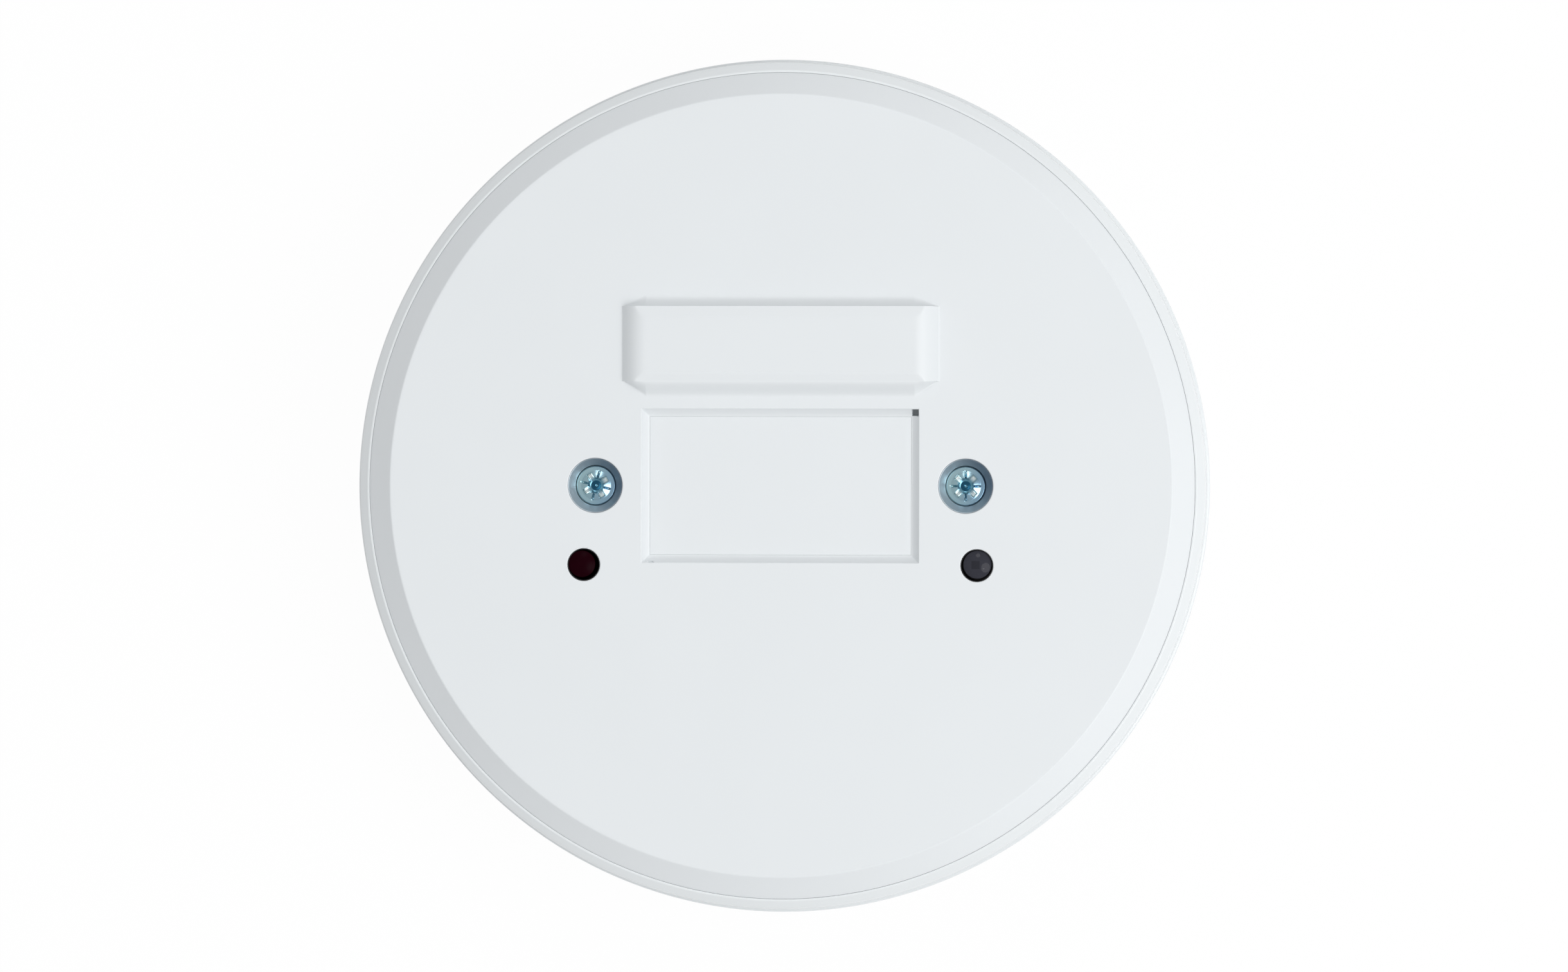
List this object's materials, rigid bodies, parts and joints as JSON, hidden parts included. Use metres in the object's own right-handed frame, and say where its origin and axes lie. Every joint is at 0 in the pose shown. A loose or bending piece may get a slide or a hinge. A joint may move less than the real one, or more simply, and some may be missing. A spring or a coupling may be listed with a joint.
{
  "type": "smoke detector",
  "caption": "Round white ceiling smoke detector: bevelled face with two screws, two windows, label plate and bar, side inlets, base, board and light-scatter chamber.",
  "frame": {"origin": "centre of the back face of the base plate, which lies on the ceiling", "axes": "+Z out of the face into the room; +X to the right of the face; +Y to its top, where the raised bar is"},
  "size_m": [0.14, 0.14, 0.0385],
  "materials": {
    "satin_white_moulding": "satin",
    "gloss_white_moulding": "gloss",
    "black_moulding": "satin",
    "rubber": "matt",
    "red_lens": "clear gloss",
    "grey_lens": "clear gloss",
    "blue_zinc": "blue passivated zinc plate",
    "brass": "machined",
    "tinned_steel": "bright tin",
    "steel_gauze": "woven, dull",
    "nylon": "natural nylon",
    "green_laminate": "solder resist",
    "blue_moulding": "satin",
    "cream_moulding": "satin",
    "orange_moulding": "satin",
    "chip_epoxy": "matt moulded epoxy",
    "smoked_epoxy": "smoked clear epoxy",
    "red_epoxy": "diffused clear epoxy",
    "capacitor_sleeve": "shrunk sleeve"
  },
  "bodies": {
    "base": {"base_plate": "satin_white_moulding", "cover_inserts": "brass", "cable_grommet": "rubber", "circuit_board": "green_laminate", "board_screws": "tinned_steel", "terminal_block": "blue_moulding", "terminal_clamps": "tinned_steel", "terminal_screws": "tinned_steel", "chamber_base": "black_moulding", "chamber_labyrinth": "black_moulding", "chamber_lid": "black_moulding", "insect_screen": "steel_gauze", "ir_emitter": "smoked_epoxy", "photodiode": "smoked_epoxy", "shield_can": "tinned_steel", "microcontroller": "chip_epoxy", "small_chips": "chip_epoxy", "capacitors": "capacitor_sleeve", "chip_resistors": "chip_epoxy", "crystal": "tinned_steel", "alarm_led": "red_epoxy", "ir_receiver": "chip_epoxy", "address_switches": "cream_moulding"},
    "cover": {"front_cover": "satin_white_moulding", "rim_ring": "gloss_white_moulding", "inlet_grille": "gloss_white_moulding", "housing_screws": "tinned_steel", "left_screw_cup": "blue_zinc", "right_screw_cup": "blue_zinc", "left_window_sleeve": "black_moulding", "right_window_sleeve": "black_moulding", "alarm_light_guide": "red_lens", "receiver_light_guide": "grey_lens"},
    "left_feed": {"left_screw_washer": "nylon"},
    "left_screw": {"left_cover_screw": "blue_zinc"},
    "right_feed": {"right_screw_washer": "nylon"},
    "right_screw": {"right_cover_screw": "blue_zinc"},
    "label": {"label_plate": "satin_white_moulding"},
    "tens": {"tens_dial": "orange_moulding"},
    "units": {"units_dial": "orange_moulding"}
  },
  "joints": [
    {"name": "cover_lift", "type": "slide", "parent": "base", "child": "cover", "axis": [0, 0, 1], "range_m": [0, 0.045]},
    {"name": "left_screw_feed", "type": "slide", "parent": "cover", "child": "left_feed", "axis": [0, 0, 1], "range_m": [0, 0.0042]},
    {"name": "left_screw_turn", "type": "hinge", "parent": "left_feed", "child": "left_screw", "pos_m": [-0.03015, 0, 0.03], "axis": [0, 0, 1], "range_deg": [0, 2520]},
    {"name": "right_screw_feed", "type": "slide", "parent": "cover", "child": "right_feed", "axis": [0, 0, 1], "range_m": [0, 0.0042]},
    {"name": "right_screw_turn", "type": "hinge", "parent": "right_feed", "child": "right_screw", "pos_m": [0.03015, 0, 0.03], "axis": [0, 0, 1], "range_deg": [0, 2520]},
    {"name": "label_lift", "type": "slide", "parent": "cover", "child": "label", "axis": [0, 0, 1], "range_m": [0, 0.006]},
    {"name": "tens_turn", "type": "hinge", "parent": "base", "child": "tens", "pos_m": [-0.0075, 0.0463, 0.015], "axis": [0, 0, 1], "continuous": true},
    {"name": "units_turn", "type": "hinge", "parent": "base", "child": "units", "pos_m": [0.0075, 0.0463, 0.015], "axis": [0, 0, 1], "continuous": true}
  ],
  "couplings": [
    {"joint": "left_screw_turn", "follows": "left_screw_feed", "rad_per_m": 10472},
    {"joint": "right_screw_turn", "follows": "right_screw_feed", "rad_per_m": 10472}
  ]
}
